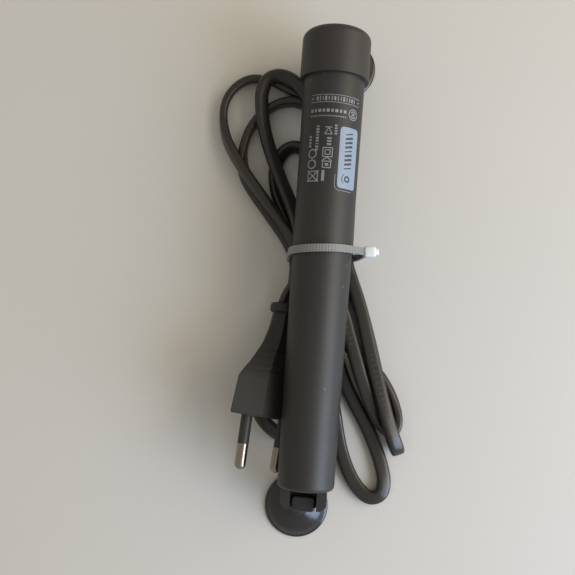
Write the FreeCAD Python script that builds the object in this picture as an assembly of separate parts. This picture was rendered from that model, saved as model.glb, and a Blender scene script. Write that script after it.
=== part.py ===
import FreeCAD, Part
import math
import os

# Preset submersible aquarium heater lying on its two suction cups, with its flat
# mains lead folded into a hank behind the tube.  Millimetres, +Z up.
# The tube's axis runs along Y at x = 0, and the cap is at the +Y end.
# The origin is on the resting surface, below the middle of the heater.

os.makedirs("parts", exist_ok=True)
V = FreeCAD.Vector
X, Y, Z = V(1, 0, 0), V(0, 1, 0), V(0, 0, 1)

# ---- driving dimensions ------------------------------------------------
tube_len = 144.5          # closed end to the cap's rim
tube_d_top = 22.0         # outside, at the cap's rim
tube_d_end = 19.8         # outside, at the closed end
tube_wall = 1.2
end_wall = 1.6
end_round = 1.5
cap_step = 1.4            # how far the cap stands out from the tube
cap_len = 17.5
cap_round = 3.0
mouth_depth = 4.5         # tube's length inside the cap
tube_rest = 11.0          # height of the tube's underside at the cap
seal_gap = 0.05           # cap's mouth round the tube
bung_gap = 0.016          # bung in the narrow end of its seat

cup_d = 23.6
cup_height = 6.4
cup_lip = 1.0
neck_d = 5.4
knob_w = 8.7
knob_l = 5.5
knob_h = 3.2
cup_shift_x = 2.8         # lean of each cup, from its knob to its disc
cup_shift_y = 3.3
knob_x = 0.6
slot_gap = 0.4
lip_thick = 1.8
lower_knob_out = 7.0      # knob's centre beyond the tube's end
upper_knob_in = 8.0       # knob's centre inside the cap's end
fork_wall = 3.5
fork_wall_h = 8.2
fork_reach = 8.6

core_d = 8.0
core_len = 52.0
wire_d = 0.6
wire_turns = 13
sleeve_wall = 0.4
board_w = 12.0
board_t = 1.2
board_len = 62.0
bimetal_len = 22.0
bimetal_t = 0.5
bimetal_w = 4.0
contact_d = 2.6
contact_t = 1.0
contact_gap = 0.6
magnet_w = 3.2
flex_gap = 0.15           # above and below the strip's clamped tail
screw_gap = 0.5
post_h = 3.4
screw_d = 2.5
lead_d = 1.8

cord_w = 5.2
cord_t = 3.2
gland_len = 16.0
gland_grow = 1.3

plug_w = 34.8
plug_t = 13.7
plug_prism = 13.5
plug_len = 42.0
plug_flange = 3.2
plug_flange_d = 9.8
plug_neck_d = 7.0
pin_d = 4.0
pin_len = 19.0
pin_sleeve = 10.0
pin_core_r = 1.4
pin_anchor = 5.0
pin_seat = 0.1
pin_root_pitch = 18.6
pin_tip_pitch = 17.4
plug_aside = 7.35         # face centre to the fork's side
plug_roll = 48.0
plug_yaw = 4.6
plug_pitch = 6.0

tie_w = 2.6
tie_t = 1.1
tie_y = 9.3
tie_turn = 4.0
tie_slack = 0.25
tie_head_l = 4.0
tie_head_w = 4.4
tie_head_h = 4.0

# ---- places worked out from them ---------------------------------------
tube_r_top = tube_d_top / 2
tube_r_end = tube_d_end / 2
cap_r = tube_r_top + cap_step
cup_r = cup_d / 2
axis_z = tube_rest + tube_r_top
out_low = lower_knob_out + cup_shift_y + cup_r
out_top = cap_len - upper_knob_in + cup_shift_y + cup_r
rim_y = (out_low + tube_len + out_top) / 2 - out_top
end_y = rim_y - tube_len
cap_y = rim_y + cap_len
mouth_y = rim_y + mouth_depth
bore_end_y = end_y + end_wall
lip_top = tube_rest + 0.5
lip_low = lip_top - lip_thick
knob_low = lip_top + slot_gap / 2
pocket_top = knob_low + knob_h + 2 * slot_gap
pocket_half = knob_w / 2 + slot_gap
neck_half = neck_d / 2 + slot_gap / 2
lower_knob = V(-knob_x, end_y - lower_knob_out, knob_low)
upper_knob = V(knob_x, cap_y - upper_knob_in, knob_low)
fork_half = pocket_half + fork_wall
plug_face = V(lower_knob.x - fork_half - plug_aside, -51.3, 14.1)


def tube_r(y):
    """Outside radius of the tapered tube at y."""
    share = (y - end_y) / tube_len
    return tube_r_end + (tube_r_top - tube_r_end) * share


def bore_r(y):
    return tube_r(y) - tube_wall


def turned(profile, z=axis_z, x=0.0):
    """Solid of revolution about the Y axis line at x, z, from (radius, y) points."""
    points = [V(x + r, y, z) for r, y in profile]
    face = Part.Face(Part.makePolygon(points + points[:1]))
    return face.revolve(V(x, 0, z), Y, 360)


def rod(radius, start, end):
    way = end - start
    return Part.makeCylinder(radius, way.Length, start, way)


def block(x0, x1, y0, y1, z0, z1):
    return Part.makeBox(x1 - x0, y1 - y0, z1 - z0, V(x0, y0, z0))


def slot_cutter(half, y0, y1, z0, z1, x, open_way):
    """Straight slot with a round inner end, open towards +Y or -Y."""
    inner, outer = (y0, y1) if open_way > 0 else (y1, y0)
    seat = inner + open_way * half
    low, high = sorted((seat, outer))
    cutter = block(x - half, x + half, low, high, z0, z1)
    return cutter.fuse(Part.makeCylinder(half, z1 - z0, V(x, seat, z0)))


def long_edges(shape, way, least=0.5):
    """Straight edges that run along way."""
    found = []
    for edge in shape.Edges:
        if edge.Curve.TypeId != "Part::GeomLine" or edge.Length < least:
            continue
        if abs(edge.tangentAt(edge.FirstParameter).dot(way)) > 0.999:
            found.append(edge)
    return found


def arc_path(points):
    """Straight runs joined by tangent arcs; prints each arc's radius."""
    edges = []
    radii = []
    last = points[0]
    for before, corner, after in zip(points, points[1:], points[2:]):
        run_in = corner - before
        run_out = after - corner
        turn = run_in.getAngle(run_out)
        cut = 0.45 * min(run_in.Length, run_out.Length)
        radius = cut / math.tan(turn / 2)
        radii.append(round(radius, 1))
        way_in = V(run_in).normalize()
        way_out = V(run_out).normalize()
        first = corner - way_in * cut
        third = corner + way_out * cut
        to_centre = (way_out - way_in).normalize()
        reach = radius / math.cos(turn / 2)
        middle = corner + to_centre * (reach - radius)
        edges.append(Part.LineSegment(last, first).toShape())
        edges.append(Part.Arc(first, middle, third).toShape())
        last = third
    edges.append(Part.LineSegment(last, points[-1]).toShape())
    return Part.Wire(edges), radii


def round_tube(points, radius, name):
    path, radii = arc_path(points)
    way = (points[1] - points[0])
    ring = Part.Wire(Part.makeCircle(radius, points[0], way))
    tube = path.makePipeShell([ring], True, False)
    ideal = math.pi * radius ** 2 * path.Length
    print(name, "length", round(path.Length, 1), "radii", radii,
          "volume ratio", round(tube.Volume / ideal, 3))
    return tube


def flat_section(centre, way, width, thick):
    """Flat round-edged section across way, its width level."""
    side = way.cross(Z).normalize()
    rise = side.cross(way).normalize()
    half = (width - thick) / 2
    r = thick / 2
    a = centre + side * half
    b = centre - side * half
    edges = [Part.LineSegment(b + rise * r, a + rise * r).toShape(),
             Part.Arc(a + rise * r, a + side * r, a - rise * r).toShape(),
             Part.LineSegment(a - rise * r, b - rise * r).toShape(),
             Part.Arc(b - rise * r, b - side * r, b + rise * r).toShape()]
    return Part.Wire(edges)


def flat_tube(points, name):
    """Flat cord along a gently turning path."""
    path, radii = arc_path(points)
    way = points[1] - points[0]
    shell = Part.BRepOffsetAPI.MakePipeShell(path)
    shell.setBiNormalMode(Z)
    shell.add(flat_section(points[0], way, cord_w, cord_t))
    shell.build()
    shell.makeSolid()
    tube = shell.shape()
    area = (cord_w - cord_t) * cord_t + math.pi * cord_t ** 2 / 4
    print(name, "length", round(path.Length, 1), "radii", radii,
          "volume ratio", round(tube.Volume / (area * path.Length), 3))
    return tube


def band(points, width, z0, z1):
    """Flat strip of constant width along straight runs with round joints."""
    solid = None
    for start, end in zip(points, points[1:]):
        way = V(end[0] - start[0], end[1] - start[1], 0)
        side = V(-way.y, way.x, 0).normalize() * (width / 2)
        a = V(start[0], start[1], z0)
        b = V(end[0], end[1], z0)
        strip = Part.Face(Part.makePolygon([a + side, b + side, b - side, a - side, a + side]))
        piece = strip.extrude(Z * (z1 - z0))
        piece = piece.fuse(Part.makeCylinder(width / 2, z1 - z0, b))
        piece = piece.fuse(Part.makeCylinder(width / 2, z1 - z0, a))
        solid = piece if solid is None else solid.fuse(piece)
    return solid


def smooth_plate(points, z0, z1):
    """Plate whose outline is one closed smooth curve through the points."""
    curve = Part.BSplineCurve()
    curve.interpolate([V(x, y, z0) for x, y in points], PeriodicFlag=True)
    return Part.Face(Part.Wire(curve.toShape())).extrude(Z * (z1 - z0))


nodes = {}

# ---- tube with its moulded fork -----------------------------------------
def heater_tube():
    outer = turned([(0, end_y), (tube_r_end, end_y), (tube_r_top, rim_y),
                    (tube_r_top, mouth_y), (0, mouth_y)])
    rim = [edge for edge in outer.Edges
           if edge.BoundBox.YMax < end_y + 0.01 and edge.BoundBox.XLength > 1]
    outer = outer.makeFillet(end_round, rim)
    middle = lower_knob.x
    half = fork_half
    root = end_y + end_wall / 2
    tip = end_y - fork_reach
    floor = block(middle - half, middle + half, tip, root, lip_low, lip_top)
    rib_top = axis_z - tube_r_end + tube_wall / 2
    rib = block(middle - half, middle + half, root - 1.0, end_y + 9.0, lip_low, rib_top)
    fork = floor.fuse(rib)
    chamfer = fork_wall * 0.55
    for side in (-1, 1):
        low, high = sorted((middle + side * pocket_half, middle + side * half))
        wall = block(low, high, tip, root, lip_low, lip_low + fork_wall_h)
        corner = [edge for edge in long_edges(wall, Z)
                  if abs(edge.CenterOfMass.x - middle - side * half) < 0.01
                  and edge.CenterOfMass.y < tip + 0.01]
        fork = fork.fuse(wall.makeChamfer(chamfer, corner))
    slot = slot_cutter(neck_half, tip - 1, lower_knob.y + neck_half, lip_low - 1,
                       lip_top + 1, middle, -1)
    bore = turned([(0, bore_end_y), (bore_r(bore_end_y), bore_end_y),
                   (bore_r(rim_y), rim_y), (bore_r(rim_y), mouth_y + 1), (0, mouth_y + 1)])
    return outer.fuse(fork).cut(slot).cut(bore).removeSplitter()


# ---- cap with its T-slot and cord boss ----------------------------------
gland_x = -1.0
gland_z = tube_rest - gland_grow - cord_t / 2 - 0.7
boss_half_w = cord_w / 2 + gland_grow + 1.2
boss_half_h = cord_t / 2 + gland_grow + 0.6
boss_y0 = rim_y - 1.5
boss_y1 = rim_y + 3.0


def head_cap():
    body = turned([(0, rim_y), (cap_r, rim_y), (cap_r, cap_y), (0, cap_y)])
    far = [edge for edge in body.Edges
           if edge.BoundBox.YMin > cap_y - 0.01 and edge.BoundBox.XLength > 1]
    body = body.makeFillet(cap_round, far)
    boss = block(gland_x - boss_half_w, gland_x + boss_half_w, boss_y0, boss_y1,
                 gland_z - boss_half_h, axis_z - tube_r_top / 2)
    body = body.fuse(boss)
    mouth = turned([(0, boss_y0 - 1), (tube_r(rim_y) + seal_gap, boss_y0 - 1),
                    (tube_r_top + seal_gap, mouth_y), (0, mouth_y)])
    neck_slot = slot_cutter(neck_half, upper_knob.y - neck_half, cap_y + 1,
                            lip_low - 2, lip_top + 1, upper_knob.x, 1)
    pocket = block(upper_knob.x - pocket_half, upper_knob.x + pocket_half,
                   upper_knob.y - knob_l / 2 - slot_gap, cap_y + 1, lip_top, pocket_top)
    gland_hole = gland_solid()
    return body.cut(mouth).cut(neck_slot).cut(pocket).cut(gland_hole).removeSplitter()


def gland_solid():
    """Tapered flat grommet from inside the cap's boss to its thin end."""
    start = V(gland_x, boss_y1 - 1.2, gland_z)
    back = flat_section(start, Y, cord_w + 2 * gland_grow, cord_t + 2 * gland_grow)
    middle = flat_section(V(gland_x, boss_y0 - 1, gland_z), Y,
                          cord_w + 2 * gland_grow, cord_t + 2 * gland_grow)
    thin = flat_section(V(gland_x, start.y - gland_len, gland_z), Y,
                        cord_w + 1.2, cord_t + 1.0)
    return Part.makeLoft([back, middle], True, True).fuse(
        Part.makeLoft([middle, thin], True, True)).removeSplitter()


nodes["heater_tube"] = heater_tube()
nodes["head_cap"] = head_cap()
nodes["cable_gland"] = gland_solid()

# ---- seals in the tube's mouth ------------------------------------------
plug_depth = 9.0
seal_r = bore_r(mouth_y - plug_depth) - bung_gap
lead_xs = (-2.6, 2.6)
lead_z = axis_z + 2.0


ring_r = 0.9
ring_y = mouth_y - plug_depth + 4.0


def seal_bung():
    groove_r = seal_r - 2 * ring_r - 0.05
    y0 = mouth_y - plug_depth
    low, high = ring_y - ring_r - 0.1, ring_y + ring_r + 0.1
    bung = turned([(0, y0), (seal_r, y0), (seal_r, low), (groove_r, low),
                   (groove_r, high), (seal_r, high), (seal_r, mouth_y - 0.1),
                   (0, mouth_y - 0.1)])
    for x in lead_xs:
        bung = bung.cut(rod(lead_d / 2 + 0.02, V(x, y0 - 1, lead_z), V(x, y0 + 6, lead_z)))
    return bung


nodes["seal_bung"] = seal_bung()
nodes["seal_ring"] = Part.makeTorus(seal_r - ring_r - 0.02, ring_r, V(0, ring_y, axis_z), Y)


# ---- suction cups --------------------------------------------------------
def suction_cup(knob, side):
    """Domed cup whose knob sits in a slot; side is -1 for the lower one, +1 for the upper."""
    centre = V(knob.x + side * cup_shift_x, knob.y + side * cup_shift_y, 0)
    top = cup_height
    r = cup_r
    outer = [Part.Arc(V(r, 0, 0.9), V(0.72 * r, 0, 0.62 * top), V(0.34 * r, 0, 0.95 * top)),
             Part.LineSegment(V(0.34 * r, 0, 0.95 * top), V(0, 0, top)),
             Part.LineSegment(V(0, 0, top), V(0, 0, 0.45 * top)),
             Part.Arc(V(0, 0, 0.45 * top), V(0.6 * r, 0, 0.27 * top), V(r - cup_lip, 0, 0)),
             Part.LineSegment(V(r - cup_lip, 0, 0), V(r, 0, 0)),
             Part.LineSegment(V(r, 0, 0), V(r, 0, 0.9))]
    wire = Part.Wire([curve.toShape() for curve in outer])
    dome = Part.Face(wire).revolve(V(0, 0, 0), Z, 360)
    dome.translate(centre)
    foot_z = 0.7 * top
    waist_z = lip_low - 0.8
    foot = Part.Wire(Part.makeCircle(neck_d * 0.85, V(centre.x, centre.y, foot_z), Z))
    waist = Part.Wire(Part.makeCircle(neck_d / 2, V(knob.x, knob.y, waist_z), Z))
    stem = Part.makeLoft([foot, waist], True, True)
    neck = rod(neck_d / 2, V(knob.x, knob.y, waist_z), V(knob.x, knob.y, knob_low + 0.5))
    head = block(knob.x - knob_w / 2, knob.x + knob_w / 2, knob.y - knob_l / 2,
                 knob.y + knob_l / 2, knob_low, knob_low + knob_h)
    head = head.makeFillet(1.5, long_edges(head, Z))
    top_rim = [edge for edge in head.Edges if edge.BoundBox.ZMin > knob_low + knob_h - 0.01]
    head = head.makeFillet(0.7, top_rim)
    return dome.fuse([stem, neck, head]).removeSplitter()


nodes["lower_suction_cup"] = suction_cup(lower_knob, -1)
nodes["upper_suction_cup"] = suction_cup(upper_knob, 1)

# ---- heating element ------------------------------------------------------
core_r = core_d / 2
foot_len = 5.0
core_y0 = bore_end_y + 3.0
core_y1 = core_y0 + core_len
wire_r = core_r + wire_d / 2 + 0.02
sleeve_r = bore_r(bore_end_y) - 1.4
collar_len = 4.0
wire_clear = 1.0          # bare core at each end of the winding
wire_pitch = (core_len - foot_len - collar_len - 2 * wire_clear - wire_d) / wire_turns


def ceramic_core():
    collar_r = sleeve_r - sleeve_wall - 0.1
    body = turned([(0, core_y0), (core_r, core_y0), (core_r, core_y1), (0, core_y1)])
    collar = turned([(0, core_y1 - collar_len), (collar_r, core_y1 - collar_len),
                     (collar_r, core_y1), (0, core_y1)])
    return body.fuse(collar).removeSplitter()


def heating_wire():
    helix = Part.makeHelix(wire_pitch, wire_pitch * wire_turns, wire_r)
    ring = Part.Wire(Part.makeCircle(wire_d / 2, V(wire_r, 0, 0), Y))
    coil = Part.Wire(helix.Edges).makePipeShell([ring], True, True)
    coil.rotate(V(0, 0, 0), X, -90)
    coil.translate(V(0, core_y0 + foot_len + wire_clear, axis_z))
    return coil


def core_foot():
    y0 = bore_end_y + 0.2
    outer = bore_r(bore_end_y) - 0.3
    foot = turned([(0, y0), (outer - 0.6, y0), (outer, y0 + foot_len), (0, y0 + foot_len)])
    return foot.cut(turned([(0, core_y0 - 0.05), (core_r + 0.03, core_y0 - 0.05),
                            (core_r + 0.03, y0 + foot_len + 1), (0, y0 + foot_len + 1)]))


def element_sleeve():
    y0 = bore_end_y + 0.2 + foot_len + 0.1
    y1 = core_y1 - 0.5
    inner = sleeve_r - sleeve_wall
    return turned([(inner, y0), (sleeve_r, y0), (sleeve_r, y1), (inner, y1)])


nodes["ceramic_core"] = ceramic_core()
nodes["heating_wire"] = heating_wire()
nodes["core_foot"] = core_foot()
nodes["element_sleeve"] = element_sleeve()

# ---- thermostat on its board ----------------------------------------------
board_y0 = core_y1 + 4.0
board_y1 = board_y0 + board_len
board_z1 = axis_z - 3.2
board_z0 = board_z1 - board_t
pivot_y = board_y0 + 34.0
tip_y = pivot_y - bimetal_len
post_w = bimetal_w + 3.0
strip_z0 = board_z1 + post_h
strip_z1 = strip_z0 + bimetal_t
screw_y = pivot_y - 6.5
bridge_z = strip_z1 + 2.0
bridge_t = 1.0


def spacer_disc():
    y0 = core_y1 + 0.2
    y1 = board_y0 + 3.0
    disc = turned([(0, y0), (bore_r(y0) - 0.3, y0), (bore_r(y0) - 0.3, y1), (0, y1)])
    slot = block(-board_w / 2 - 0.1, board_w / 2 + 0.1, board_y0 - 0.1, y1 + 1,
                 board_z0 - 0.1, board_z1 + 0.1)
    disc = disc.cut(slot)
    for x in lead_xs:
        disc = disc.cut(rod(lead_d / 2 + 0.1, V(2 * x, y0 - 1, lead_z), V(2 * x, y1 + 1, lead_z)))
    return disc


def thermostat_board():
    return block(-board_w / 2, board_w / 2, board_y0, board_y1, board_z0, board_z1)


def bimetal_post():
    low = block(-post_w / 2, post_w / 2, pivot_y - 1.0, pivot_y + 5.0, board_z1, strip_z0 - flex_gap)
    high = block(-post_w / 2, post_w / 2, pivot_y + 2.5, pivot_y + 5.0, strip_z0 - flex_gap,
                 bridge_z + bridge_t)
    arm = block(-post_w / 2, post_w / 2, screw_y - 3.0, pivot_y + 5.0, bridge_z,
                bridge_z + bridge_t + 0.6)
    post = low.fuse([high, arm])
    hole = rod(screw_d / 2 + 0.05, V(0, screw_y, bridge_z - 1), V(0, screw_y, bridge_z + 3))
    return post.cut(hole).removeSplitter()


def bimetal_strip():
    return block(-bimetal_w / 2, bimetal_w / 2, tip_y, pivot_y + 2.0, strip_z0, strip_z1)


contact_y = tip_y + 2.5
bracket_top = strip_z0 - 2 * contact_t - contact_gap


def moving_contact():
    return rod(contact_d / 2, V(0, contact_y, strip_z0 - contact_t), V(0, contact_y, strip_z0))


def fixed_contact():
    low = V(0, contact_y, bracket_top)
    return rod(contact_d / 2, low, low + Z * contact_t)


def contact_bracket():
    half = bimetal_w / 2 + 0.5
    return block(-half, half, tip_y - 5.0, contact_y + contact_d, board_z1, bracket_top)


def snap_magnet():
    y0 = contact_y + contact_d + 0.6
    high = strip_z0 - contact_gap - 0.3
    return block(-magnet_w / 2, magnet_w / 2, y0, y0 + 3.0, board_z1, high)


def trim_screw():
    tip = strip_z1 + screw_gap
    head_z = bridge_z + bridge_t + 0.6 + 0.15
    shank = rod(screw_d / 2, V(0, screw_y, tip), V(0, screw_y, head_z))
    head = rod(screw_d * 0.9, V(0, screw_y, head_z), V(0, screw_y, head_z + 1.3))
    groove = block(-screw_d, screw_d, screw_y - 0.3, screw_y + 0.3, head_z + 0.7, head_z + 2)
    return shank.fuse(head).cut(groove).removeSplitter()


nodes["spacer_disc"] = spacer_disc()
nodes["thermostat_board"] = thermostat_board()
nodes["bimetal_post"] = bimetal_post()
nodes["bimetal_strip"] = bimetal_strip()
nodes["moving_contact"] = moving_contact()
nodes["fixed_contact"] = fixed_contact()
nodes["contact_bracket"] = contact_bracket()
nodes["snap_magnet"] = snap_magnet()
nodes["trim_screw"] = trim_screw()

# ---- thermal fuse, leads and crimps ----------------------------------------
fuse_r = 1.6
fuse_len = 10.0
crimp_r = lead_d / 2 + 0.6
crimp_len = 7.0
lead_top_y = mouth_y - plug_depth + 6
crimp_y = board_y1 - 4.0
fuse_y = pivot_y + 12.0
side_x = board_w / 2 - 1.2
wire_z = board_z1 + fuse_r + 0.2


def lead(x, y0):
    """Insulated core from the seal's bore down to its crimp."""
    return rod(lead_d / 2, V(x, y0, lead_z), V(x, lead_top_y, lead_z))


def crimp(x, y0):
    return rod(crimp_r, V(x, y0, lead_z), V(x, y0 + crimp_len, lead_z))


nodes["live_lead"] = lead(lead_xs[0], crimp_y)
nodes["neutral_lead"] = lead(lead_xs[1], crimp_y)
nodes["live_crimp"] = crimp(lead_xs[0], crimp_y - crimp_len)
nodes["neutral_crimp"] = crimp(lead_xs[1], crimp_y - crimp_len)
nodes["thermal_fuse"] = rod(fuse_r, V(0, fuse_y, wire_z), V(0, fuse_y + fuse_len, wire_z))
nodes["return_wire"] = round_tube(
    [V(lead_xs[1], crimp_y - crimp_len, lead_z), V(lead_xs[1], crimp_y - crimp_len - 5, lead_z),
     V(side_x, crimp_y - crimp_len - 11, lead_z),
     V(2 * lead_xs[1], board_y0 + 30, lead_z), V(2 * lead_xs[1], core_y1 + 0.2, lead_z)],
    lead_d / 2, "return_wire")

# ---- label wrapped on the tube ------------------------------------------------
label_y0, label_y1 = rim_y - 40.5, rim_y - 19.0
label_a0, label_a1 = 18.0, 60.0
label_t = 0.15


def preset_label():
    """Thin sticker on the tube, between two angles from its crown."""
    inner0, inner1 = tube_r(label_y0), tube_r(label_y1)
    ring = turned([(inner0, label_y0), (inner0 + label_t, label_y0),
                   (inner1 + label_t, label_y1), (inner1, label_y1)])
    reach = 2 * tube_r_top
    a0, a1 = math.radians(label_a0), math.radians(label_a1)
    wedge = Part.makePolygon([V(0, label_y0 - 1, axis_z),
                              V(reach * math.sin(a0), label_y0 - 1, axis_z + reach * math.cos(a0)),
                              V(reach * math.sin(a1), label_y0 - 1, axis_z + reach * math.cos(a1)),
                              V(0, label_y0 - 1, axis_z)])
    return ring.common(Part.Face(wedge).extrude(Y * (label_y1 - label_y0 + 2)))


nodes["preset_label"] = preset_label()

# ---- mains lead ------------------------------------------------------------
gland_tip_y = boss_y1 - 1.2 - gland_len
cord_start_points = [(gland_x, gland_tip_y, gland_z), (gland_x, 50.0, gland_z),
                     (gland_x - 0.5, 41.0, 8.2), (gland_x, 29.0, 9.6), (gland_x, 20.0, 9.6)]
level = math.cos(math.radians(plug_pitch))
plug_way = V(level * math.sin(math.radians(plug_yaw)), level * math.cos(math.radians(plug_yaw)),
             -math.sin(math.radians(plug_pitch)))
plug_tail = plug_face + plug_way * plug_len
cord_end_points = [(-7.7, 4.0, 9.6), (-7.7, 1.0, 9.6), (-9.6, -2.2, 9.5),
                   tuple(plug_tail + plug_way * 4.0), tuple(plug_tail)]
waist_y0, waist_y1 = 4.0, 20.0
waist_half, waist_top = 11.4, 11.2
waist_round = 2.0

nodes["cord_start"] = flat_tube([V(*p) for p in cord_start_points], "cord_start")
nodes["cord_end"] = flat_tube([V(*p) for p in cord_end_points], "cord_end")

upper_fan = [(-10.0, 6.0), (-20.0, 17.0), (-30.5, 29.0), (-38.5, 41.0), (-43.5, 54.0),
             (-44.5, 65.5), (-40.0, 75.5), (-30.0, 80.5), (-18.0, 80.5), (-11.0, 75.5),
             (-6.5, 66.0), (0.0, 52.0), (7.0, 32.0), (10.0, 12.0), (4.0, 5.0)]
fan_crown = [(-13.0, 16.0), (-22.0, 21.0), (-34.0, 38.0), (-43.0, 56.0), (-42.0, 72.0),
             (-32.0, 79.5), (-19.0, 79.5), (-14.2, 70.0), (-13.2, 50.0), (-13.0, 30.0)]
lower_fan = [(6.0, 14.0), (12.5, 8.0), (17.5, -8.0), (25.0, -28.0), (34.5, -45.0),
             (36.0, -58.0), (32.5, -66.0), (30.5, -77.0), (25.0, -81.5), (17.5, -77.0),
             (9.0, -62.0), (7.0, -48.0), (7.5, -24.0), (4.0, 0.0)]
low_loop = [(-7.0, 3.0), (-13.5, -11.0), (-19.5, -24.0), (-23.0, -36.0), (-22.0, -46.0),
            (-18.6, -54.2), (-12.4, -59.0), (-6.0, -60.0), (0.0, -56.6), (1.8, -48.0),
            (1.2, -38.0), (-0.8, -24.0), (-3.0, -12.0), (-5.0, 3.0)]


def cord_hank():
    waist = block(-waist_half, waist_half, waist_y0, waist_y1, tie_t + tie_slack, waist_top)
    waist = waist.makeFillet(waist_round, long_edges(waist, Y))
    fan = smooth_plate(upper_fan, 0.0, 4.4)
    crown = smooth_plate(fan_crown, 4.0, 8.6)
    spread = smooth_plate(lower_fan, 0.0, 8.6)
    loop = band(low_loop, cord_w, 0.0, cord_t)
    groove = block(-40, 40, tie_y - tie_w, tie_y + tie_w, -1.0, 2 * waist_top).cut(waist)
    hank = fan.fuse([crown, spread, loop]).cut(groove)
    return hank.fuse(waist).removeSplitter()


nodes["cord_hank"] = cord_hank()


# ---- flat two-pin plug --------------------------------------------------------
def place_plug(shape):
    """From the plug's own frame: face centre at the origin, pins along -Y, width along X."""
    shape.rotate(V(0, 0, 0), Y, plug_roll)
    shape.rotate(V(0, 0, 0), X, -plug_pitch)
    shape.rotate(V(0, 0, 0), Z, -plug_yaw)
    shape.translate(plug_face)
    return shape


def hexagon(y, width, thick, flat):
    half, h, f = width / 2, thick / 2, flat / 2
    return Part.makePolygon([V(-half, y, 0), V(-f, y, h), V(f, y, h), V(half, y, 0),
                             V(f, y, -h), V(-f, y, -h), V(-half, y, 0)])


neck_y = plug_len - plug_flange
plug_sections = [(0.0, plug_w, plug_t, 18.0), (plug_prism, plug_w - 2.2, plug_t - 0.4, 16.5),
                 (plug_prism + 4.5, plug_w - 9.7, plug_t - 1.6, 12.6),
                 (plug_prism + 8.8, plug_w - 15.2, plug_t - 3.6, 9.0),
                 (plug_prism + 15.0, plug_w - 23.0, plug_t - 5.3, 5.8),
                 (neck_y + 0.5, plug_neck_d + 0.8, plug_neck_d - 0.2, 3.2)]


def plug_body():
    wires = [hexagon(*section) for section in plug_sections]
    body = Part.makeLoft(wires[:2], True, True)
    for low, high in zip(wires[1:], wires[2:]):
        body = body.fuse(Part.makeLoft([low, high], True, True))
    flange = Part.makeCylinder(plug_flange_d / 2, plug_flange, V(0, neck_y, 0), Y)
    flange = flange.makeFillet(0.8, [edge for edge in flange.Edges if edge.Closed])
    body = body.fuse(flange)
    for side in (-1, 1):
        root, tip = pin_line(side)
        way = (tip - root).normalize()
        body = body.cut(rod(pin_core_r, root - way * pin_anchor, tip))
        body = body.cut(rod(pin_d / 2, root - way * pin_seat, tip))
    return place_plug(body.removeSplitter())


def pin_line(side):
    """Root and tip of one pin, in the plug's own frame."""
    return V(side * pin_root_pitch / 2, 0, 0), V(side * pin_tip_pitch / 2, -pin_len, 0)


def pin_pieces():
    metals = []
    sleeves = []
    for side in (-1, 1):
        root, tip = pin_line(side)
        way = (tip - root).normalize()
        bare = root + way * pin_sleeve
        nose = root + way * (pin_len - pin_d / 2)
        metal = rod(pin_core_r, root - way * pin_anchor, bare)
        metal = metal.fuse([rod(pin_d / 2, bare, nose), Part.makeSphere(pin_d / 2, nose)])
        metals.append(metal.removeSplitter())
        sleeve = rod(pin_d / 2, root - way * pin_seat, bare)
        sleeves.append(sleeve.cut(rod(pin_core_r, root - way, bare + way)))
    return place_plug(Part.makeCompound(metals)), place_plug(Part.makeCompound(sleeves))


nodes["plug_body"] = plug_body()
nodes["cord_end"] = nodes["cord_end"].cut(nodes["plug_body"])  # ends flush on the flange
nodes["plug_pins"], nodes["pin_sleeves"] = pin_pieces()


# ---- cable tie round the tube and the hank ------------------------------------
def hull_wire(rounds, grow, y):
    """Convex outline round circles given clockwise as (x, z, radius), seen from -Y."""
    edges = []
    joins = []
    for (x0, z0, r0), (x1, z1, r1) in zip(rounds, rounds[1:] + rounds[:1]):
        r0, r1 = r0 + grow, r1 + grow
        gap = math.hypot(x1 - x0, z1 - z0)
        way = math.atan2(z1 - z0, x1 - x0)
        normal = way + math.acos((r0 - r1) / gap)
        out = V(math.cos(normal), 0, math.sin(normal))
        joins.append((V(x0, y, z0) + out * r0, V(x1, y, z1) + out * r1, normal))
    for count, (x, z, r) in enumerate(rounds):
        arrive = joins[count - 1]
        leave = joins[count]
        a0, a1 = arrive[2], leave[2]
        if a1 > a0:
            a0 += 2 * math.pi
        middle = (a0 + a1) / 2
        bulge = V(x, y, z) + V(math.cos(middle), 0, math.sin(middle)) * (r + grow)
        edges.append(Part.Arc(arrive[1], bulge, leave[0]).toShape())
        edges.append(Part.LineSegment(leave[0], leave[1]).toShape())
    return Part.Wire(edges)


tie_corner = 2.1
tie_side = waist_half + tie_slack - tie_corner + 0.9
tie_low = tie_t + tie_corner
head_x = 15.3
head_z = axis_z - 1.6
tie_rounds = [(0.0, axis_z, tube_r(tie_y + tie_w / 2) + tie_slack), (head_x, head_z, 0.5),
              (tie_side, tie_low, tie_corner), (-tie_side, tie_low, tie_corner)]


def turn_tie(shape):
    """The tie lies a little askew across the tube."""
    shape.rotate(V(0, tie_y, 0), Z, tie_turn)
    return shape


def tie_strap():
    y = tie_y - tie_w / 2
    outer = Part.Face(hull_wire(tie_rounds, tie_t, y)).extrude(Y * tie_w)
    inner = Part.Face(hull_wire(tie_rounds, 0.0, y)).extrude(Y * tie_w)
    head_space = block(head_x - 0.6, head_x + 9, y - 1, y + tie_w + 1, head_z - 6, head_z + 6)
    return turn_tie(outer.cut(inner).cut(head_space))


def tie_head():
    x0 = head_x - 0.6
    head = block(x0, x0 + tie_head_w, tie_y - tie_head_l / 2, tie_y + tie_head_l / 2,
                 head_z - tie_head_h / 2, head_z + tie_head_h / 2)
    head = head.makeFillet(0.7, long_edges(head, X) + long_edges(head, Z))
    tail = block(x0 + tie_head_w, x0 + tie_head_w + 0.9, tie_y - tie_w / 2,
                 tie_y + tie_w / 2, head_z - tie_t / 2, head_z + tie_t / 2)
    return turn_tie(head.fuse(tail).removeSplitter())


nodes["tie_strap"] = tie_strap()
nodes["tie_head"] = tie_head()

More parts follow.
